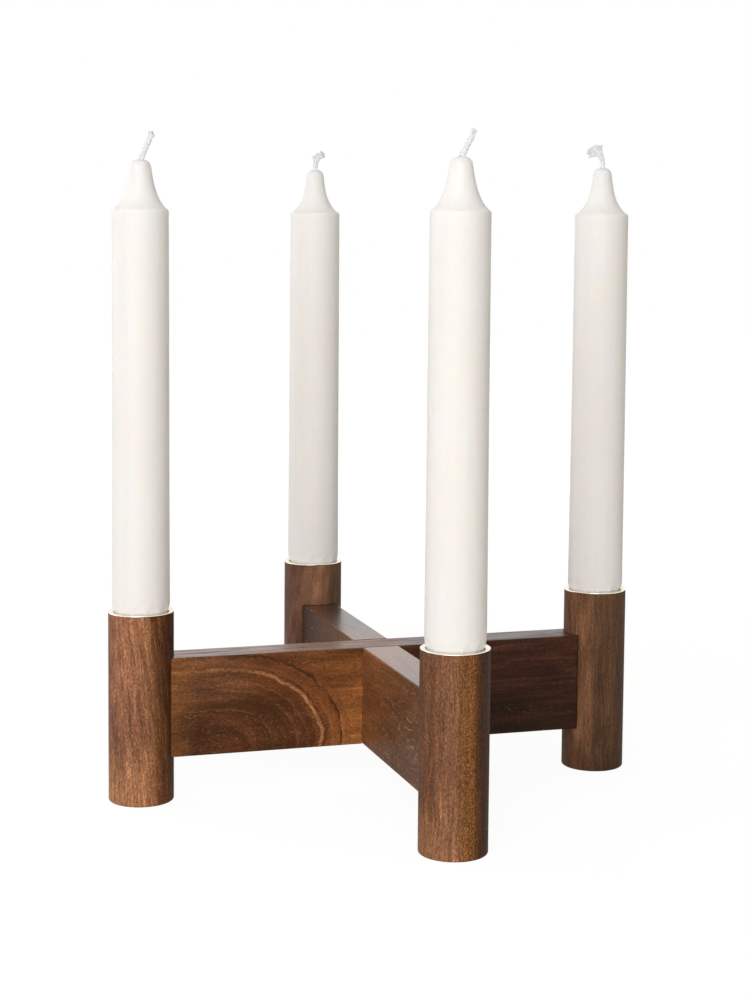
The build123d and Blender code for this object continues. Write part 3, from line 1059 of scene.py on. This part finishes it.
def braid(line, even, origin):
    """Three strands: centre + swing sin(t) sideways + dip sin(2t) in depth, with twisted plies."""
    slope = np.gradient(line, axis=0)
    slope /= np.linalg.norm(slope, axis=1, keepdims=True)
    side = slope[:, 1:] * SIDEWAYS - slope[:, :1] * UP
    depth = np.broadcast_to(DEPTH, side.shape)
    middle_line = origin + line[:, :1] * SIDEWAYS + line[:, 1:] * UP
    turn = np.linspace(0, 2 * np.pi, STRAND_SIDES, endpoint=False)
    step = np.arange(len(even))
    taper = np.minimum(1, np.minimum(step, step[::-1]) / TAPER_STEPS)[:, None]
    strands = []
    for third in range(3):
        phase = 2 * np.pi * (even / BRAID_PITCH + third / 3)[:, None]
        centre = middle_line + BRAID_SWING * np.sin(phase) * side + BRAID_DIP * np.sin(2 * phase) * depth
        plies = np.cos(PLIES * turn - 2 * np.pi * even[:, None] / PLY_PITCH)
        strands.append(tube(centre, side, depth, STRAND_RADIUS * (1 + PLY_DEPTH * plies) * taper))
    return np.stack(strands)


print("the braid is", 2 * (BRAID_SWING + STRAND_RADIUS), "mm wide, and a strand", 2 * STRAND_RADIUS, "mm")

# %% The frayed ends
FIBRES = 220
FIBRE_STEPS = 12
FIBRE_SIDES = 10
FIBRE_RADIUS = 0.25
FIBRE_TAPER = 0.4
FIBRE_ROUNDING = 24
WICK_SHARP = 60
TUFT_DEPTH = 0.45
TUFT_SETBACK = 1.0
LOBE_SPREAD = math.radians(6)
REACH_SHARES = (0.82, 1.0)
FAN_ANGLE = 1.2
FAN_SHARE = 0.6
FAN_SPREAD = 0.35
BEND_SHARE = 0.35
DEPTH_GROWTH = (0.5, 2.0)
WICKS = {
    "left": dict(bend=0.6, end=(3.7, 8.3), lobes=((98, 2.5), (68, 2.7), (40, 2.2)), seed=1),
    "right": dict(bend=4.0, end=(-0.7, 4.7), seed=2,
                  lobes=((97, 5.0), (117, 5.5), (138, 5.9), (158, 6.6), (172, 5.4))),
    "front": dict(bend=0.6, end=(3.8, 7.4), lobes=((100, 2.3), (82, 2.5), (60, 2.3)), seed=3),
    "back": dict(bend=2.9, end=(0.3, 3.8), lobes=((113, 2.9), (80, 3.9), (54, 5.4), (34, 4.7)), seed=4),
}


def tuft(end, direction, lobes, seed, origin):
    """Fibres that leave along the braid and bend into one of the lobes, as Bezier curves.

    A lobe is an angle in degrees from sideways to upwards, and a length."""
    draw = np.random.default_rng(seed)
    lobe = draw.integers(0, len(lobes), FIBRES)
    angle = np.radians([lobes[i][0] for i in lobe]) + draw.normal(0, LOBE_SPREAD, FIBRES)
    reach = np.array([lobes[i][1] for i in lobe]) * draw.uniform(*REACH_SHARES, FIBRES)
    away = np.cos(angle)[:, None] * SIDEWAYS + np.sin(angle)[:, None] * UP
    leave = direction[0] * SIDEWAYS + direction[1] * UP
    across = direction[1] * SIDEWAYS - direction[0] * UP
    leaving = math.atan2(direction[1], direction[0])
    tip = origin + end[0] * SIDEWAYS + end[1] * UP
    width = BRAID_SWING + STRAND_RADIUS - FIBRE_RADIUS
    fan = np.clip((leaving - angle) / FAN_ANGLE, -1, 1)
    spot = np.clip(FAN_SHARE * fan + draw.normal(0, FAN_SPREAD, FIBRES), -1, 1) * width
    deep = draw.normal(0, TUFT_DEPTH, FIBRES).clip(-2, 2) * TUFT_DEPTH
    first = tip - TUFT_SETBACK * leave + spot[:, None] * across + deep[:, None] * DEPTH
    second = first + (TUFT_SETBACK + BEND_SHARE * reach)[:, None] * leave
    deeper = deep * draw.uniform(*DEPTH_GROWTH, FIBRES)
    third = tip + reach[:, None] * away + deeper[:, None] * DEPTH
    share = np.linspace(0, 1, FIBRE_STEPS)[None, :, None]
    start, bend, stop = first[:, None], second[:, None], third[:, None]
    centre = (1 - share) ** 2 * start + 2 * share * (1 - share) * bend + share ** 2 * stop
    aim = np.gradient(centre, axis=1)
    side = np.cross(aim, DEPTH)
    side /= np.linalg.norm(side, axis=-1, keepdims=True)
    along = np.linspace(0, 1, FIBRE_STEPS)
    thick = FIBRE_RADIUS * (1 - FIBRE_TAPER * along) * np.sqrt(1 - (2 * along - 1) ** FIBRE_ROUNDING)
    radius = np.broadcast_to(thick[None, :, None], (FIBRES, FIBRE_STEPS, FIBRE_SIDES))
    return tube(centre, side, np.broadcast_to(DEPTH, side.shape), radius)


def many_tubes(tubes):
    """Faces and UVs for a stack of tubes, shaped tube by ring by side by 3."""
    count, rows, columns = tubes.shape[:3]
    faces, uv = grid(rows, columns)
    shift = np.arange(count)[:, None, None] * rows * columns
    return (faces[None] + shift).reshape(-1, 4), np.tile(uv, (count, 1, 1))


for arm, form in WICKS.items():
    root_height = lowest_and_highest(f"{arm}_wick")[0]
    tip = lowest_and_highest(f"{arm}_candle")[1]
    origin = np.array([*AXIS[arm], tip])
    line, even = wick_line(form["bend"], form["end"], root_height - tip)
    direction = line[-1] - line[-4]
    direction = direction / np.linalg.norm(direction)
    strands = braid(line, even, origin)
    fibres = tuft(line[-1], direction, form["lobes"], form["seed"], origin)
    strand_faces, strand_uv = many_tubes(strands)
    fibre_faces, fibre_uv = many_tubes(fibres)
    points = np.vstack([strands.reshape(-1, 3), fibres.reshape(-1, 3)])
    faces = np.vstack([strand_faces, fibre_faces + strands.size // 3])
    uv = np.vstack([strand_uv, fibre_uv])
    wick = add_piece(f"{arm}_braided_wick", points, faces, uv, cotton, WICK_SHARP)
    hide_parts(f"{arm}_wick")
    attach(wick, f"{arm}_candle_set")
